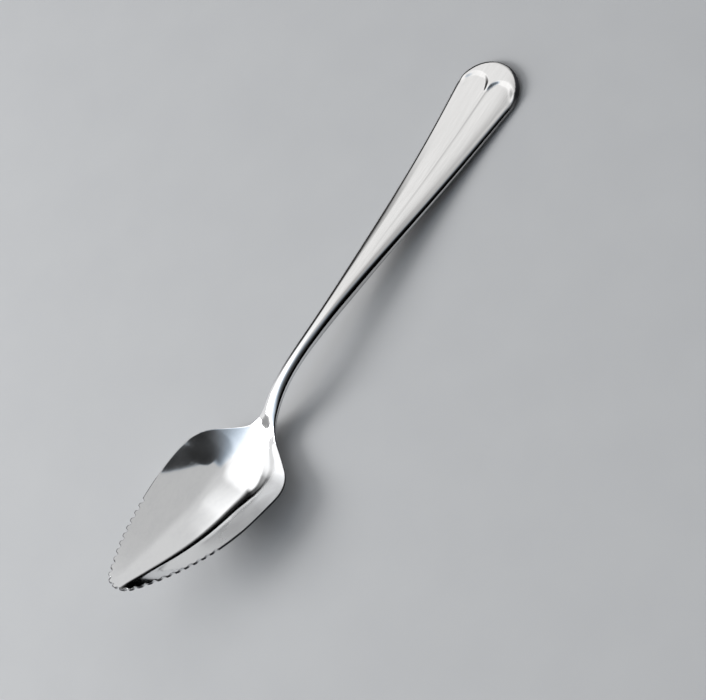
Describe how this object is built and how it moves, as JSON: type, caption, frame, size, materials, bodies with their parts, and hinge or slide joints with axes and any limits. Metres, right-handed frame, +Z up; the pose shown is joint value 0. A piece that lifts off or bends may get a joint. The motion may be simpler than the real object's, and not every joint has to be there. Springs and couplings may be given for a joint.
{
  "type": "grapefruit spoon",
  "caption": "Pressed steel spoon with a pointed oval bowl, a toothed front rim, a slim bent neck and a flaring handle with sunk arched panels.",
  "frame": {"origin": "on the table, under the middle of the spoon's length and width", "axes": "+X from the bowl's tip towards the end of the handle, +Y across the spoon, +Z up out of the bowl"},
  "size_m": [0.1588, 0.0308, 0.0228],
  "materials": {
    "steel": "polished stainless steel, bright, with faint lengthwise polishing lines"
  },
  "bodies": {
    "root": {"grapefruit_spoon": "steel"}
  },
  "joints": []
}
